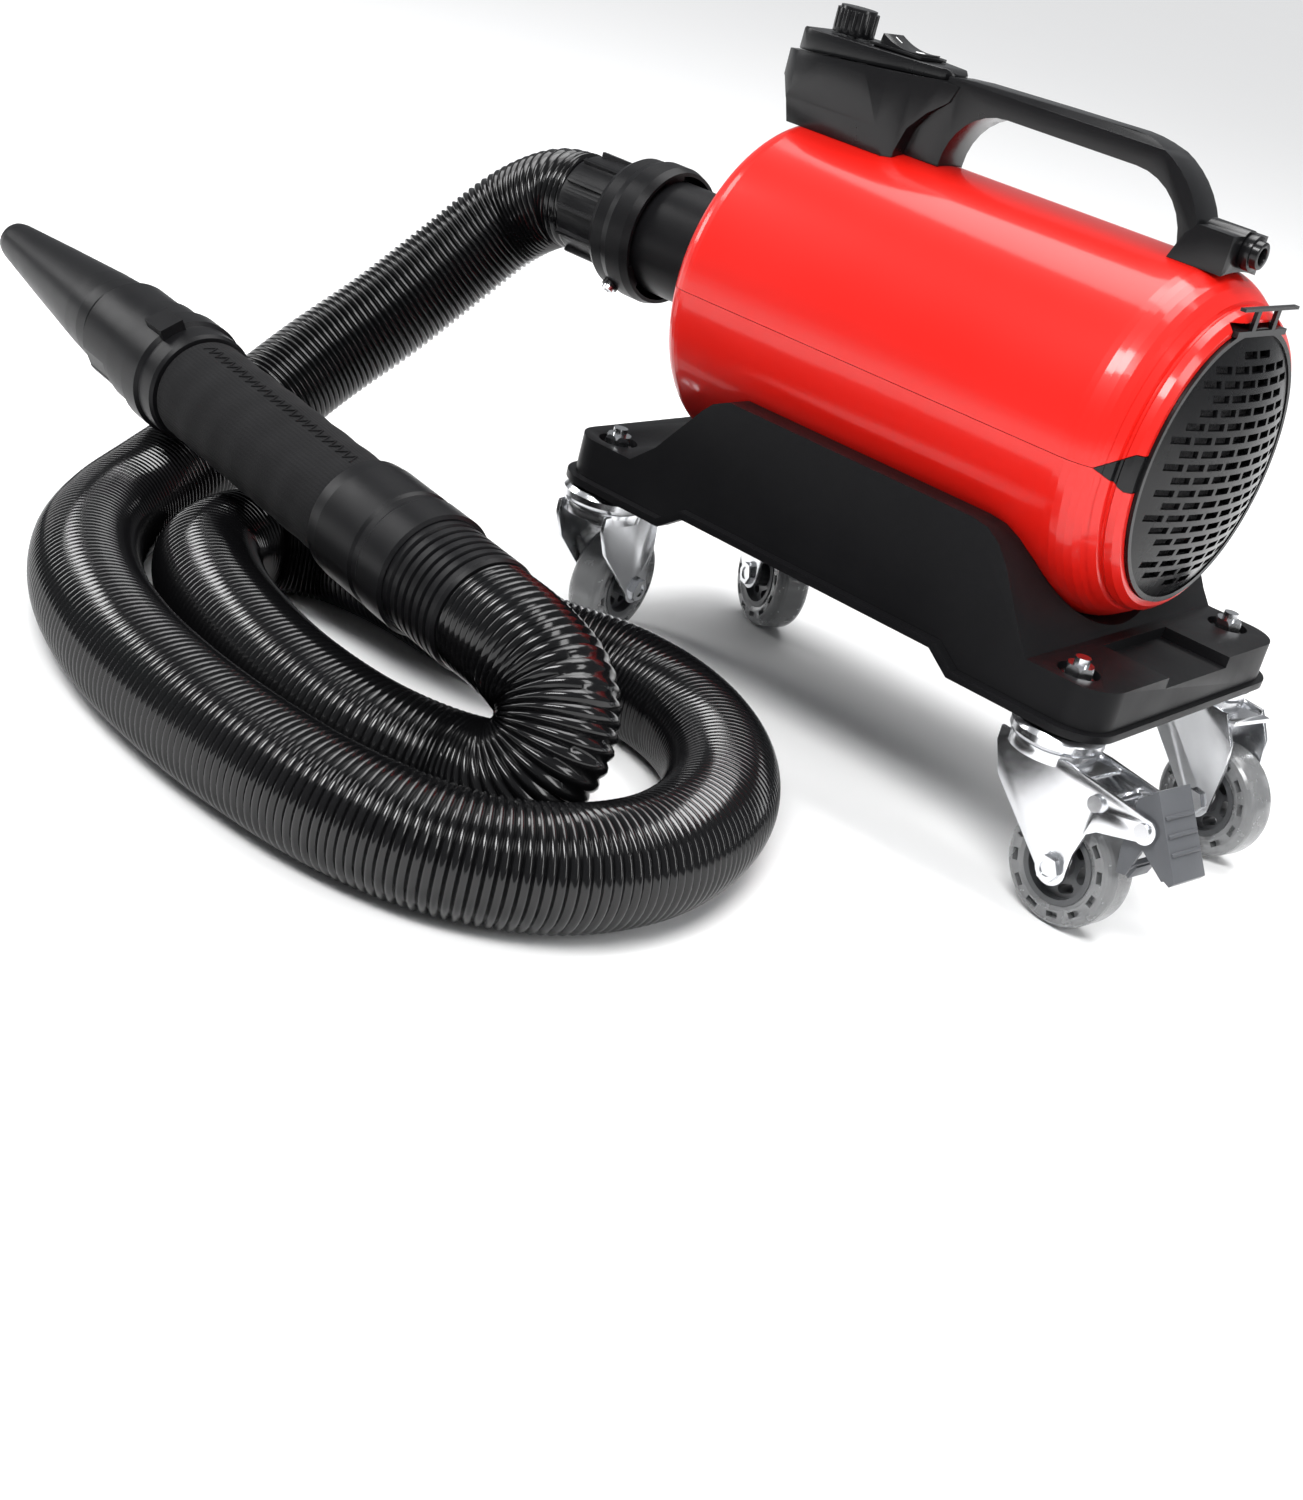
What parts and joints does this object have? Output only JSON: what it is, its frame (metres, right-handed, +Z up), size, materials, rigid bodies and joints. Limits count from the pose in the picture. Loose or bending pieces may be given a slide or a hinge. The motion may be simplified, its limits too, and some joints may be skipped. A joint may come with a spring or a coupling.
{
  "type": "wheeled pet dryer",
  "caption": "Barrel-shaped forced-air pet dryer on a caster deck, with a carry handle, speed knob, rocker switch, flexible hose and a hand wand.",
  "frame": {"origin": "on the floor under the middle of the dryer's bounding box, the hose and wand not counted", "axes": "+X along the barrel towards the air intake, +Y to the side away from the hose, +Z up"},
  "size_m": [0.7947, 0.529, 0.3702],
  "materials": {
    "red_paint": "high gloss lacquer",
    "black_satin": "satin moulded",
    "black_gloss": "polished moulded",
    "grille_black": "semi-matt moulded",
    "zinc_plate": "bright zinc plate",
    "steel": "machined",
    "hub_grey": "moulded",
    "clear_tyre": "smoked polyurethane",
    "pedal_grey": "zinc-plated steel with a grey cover",
    "hose_black": "glossy corrugated",
    "neoprene": "knit-faced neoprene",
    "rubber": "matt",
    "copper": "wound copper",
    "laminations": "stacked steel",
    "aluminium": "spun",
    "carbon": "carbon block",
    "board_green": "circuit board",
    "foam": "open-cell foam"
  },
  "bodies": {
    "dryer": {"upper_shell": "red_paint", "lower_shell": "red_paint", "outlet_spigot": "black_satin", "handle": "black_gloss", "switch_plate": "black_gloss", "rocker_bezel": "black_gloss", "speed_control": "aluminium", "cable_gland": "black_gloss", "control_board": "board_green", "motor_stator": "laminations", "fan_casing": "aluminium", "front_bracket": "aluminium", "rear_bracket": "aluminium", "motor_bearings": "steel", "mount_rings": "rubber", "carbon_brushes": "carbon", "foam_liner": "foam", "casing_screws": "steel", "deck": "black_satin", "deck_screws": "steel", "caster_cups": "zinc_plate", "caster_stems": "zinc_plate", "stem_nuts": "zinc_plate", "hose_tube": "hose_black", "hose_cuff": "black_satin", "wand_cuff": "black_satin", "wand_pipe": "black_satin", "wand_sleeve": "neoprene", "wand_collar": "black_satin"},
    "filter_cover": {"intake_grille": "grille_black", "filter_foam": "foam"},
    "rotor": {"motor_shaft": "steel", "armature": "copper", "commutator": "copper", "fan_impellers": "aluminium"},
    "knob": {"speed_knob": "black_gloss", "knob_spindle": "steel"},
    "rocker": {"power_rocker": "black_gloss"},
    "hose_lock": {"lock_ring": "black_satin", "ring_screw": "steel"},
    "air_nozzle": {"nozzle": "black_satin"},
    "caster_front_right": {"fork_front_right": "zinc_plate", "axle_front_right": "zinc_plate", "brake_rivets": "zinc_plate"},
    "wheel_front_right": {"hub_front_right": "hub_grey", "tyre_front_right": "clear_tyre"},
    "caster_back_right": {"fork_back_right": "zinc_plate", "axle_back_right": "zinc_plate"},
    "wheel_back_right": {"hub_back_right": "hub_grey", "tyre_back_right": "clear_tyre"},
    "caster_back_left": {"fork_back_left": "zinc_plate", "axle_back_left": "zinc_plate"},
    "wheel_back_left": {"hub_back_left": "hub_grey", "tyre_back_left": "clear_tyre"},
    "caster_front_left": {"fork_front_left": "zinc_plate", "axle_front_left": "zinc_plate"},
    "wheel_front_left": {"hub_front_left": "hub_grey", "tyre_front_left": "clear_tyre"},
    "pedal": {"brake_pedal": "pedal_grey"}
  },
  "joints": [
    {"name": "filter_cover_pull", "type": "slide", "parent": "dryer", "child": "filter_cover", "axis": [1, 0, 0], "range_m": [0, 0.045]},
    {"name": "rotor_spin", "type": "hinge", "parent": "dryer", "child": "rotor", "pos_m": [0.00904, 0.00181, 0.217], "axis": [1, 0, 0], "continuous": true},
    {"name": "speed_turn", "type": "hinge", "parent": "dryer", "child": "knob", "pos_m": [-0.13795, 0.00181, 0.36], "axis": [0, 0, -1], "range_deg": [0, 270]},
    {"name": "power_tilt", "type": "hinge", "parent": "dryer", "child": "rocker", "pos_m": [-0.10096, 0.00181, 0.3545], "axis": [0, 1, 0], "range_deg": [-18, 0]},
    {"name": "hose_lock_twist", "type": "hinge", "parent": "dryer", "child": "hose_lock", "pos_m": [-0.24196, 0.00181, 0.217], "axis": [1, 0, 0], "range_deg": [0, 30]},
    {"name": "nozzle_twist", "type": "hinge", "parent": "dryer", "child": "air_nozzle", "pos_m": [-0.45283, -0.22034, 0.10586], "axis": [-0.9872, 0.1546, 0.0396], "range_deg": [0, 30]},
    {"name": "swivel_front_right", "type": "hinge", "parent": "dryer", "child": "caster_front_right", "pos_m": [0.14255, -0.07969, 0.08], "axis": [0, 0, 1], "continuous": true},
    {"name": "roll_front_right", "type": "hinge", "parent": "caster_front_right", "child": "wheel_front_right", "pos_m": [0.17331, -0.08346, 0.03175], "axis": [0.1219, 0.9925, 0], "continuous": true},
    {"name": "swivel_back_right", "type": "hinge", "parent": "dryer", "child": "caster_back_right", "pos_m": [0.14255, 0.08331, 0.08], "axis": [0, 0, 1], "continuous": true},
    {"name": "roll_back_right", "type": "hinge", "parent": "caster_back_right", "child": "wheel_back_right", "pos_m": [0.17287, 0.07687, 0.03175], "axis": [0.2079, 0.9781, 0], "continuous": true},
    {"name": "swivel_back_left", "type": "hinge", "parent": "dryer", "child": "caster_back_left", "pos_m": [-0.16445, 0.08331, 0.08], "axis": [0, 0, 1], "continuous": true},
    {"name": "roll_back_left", "type": "hinge", "parent": "caster_back_left", "child": "wheel_back_left", "pos_m": [-0.13708, 0.06876, 0.03175], "axis": [0.4695, 0.8829, 0], "continuous": true},
    {"name": "swivel_front_left", "type": "hinge", "parent": "dryer", "child": "caster_front_left", "pos_m": [-0.16445, -0.07969, 0.08], "axis": [0, 0, 1], "continuous": true},
    {"name": "roll_front_left", "type": "hinge", "parent": "caster_front_left", "child": "wheel_front_left", "pos_m": [-0.16877, -0.04899, 0.03175], "axis": [-0.9903, -0.1392, 0], "continuous": true},
    {"name": "brake_press", "type": "hinge", "parent": "caster_front_right", "child": "pedal", "pos_m": [0.21302, -0.08834, 0.074], "axis": [0.1219, 0.9925, 0], "range_deg": [0, 9]}
  ]
}
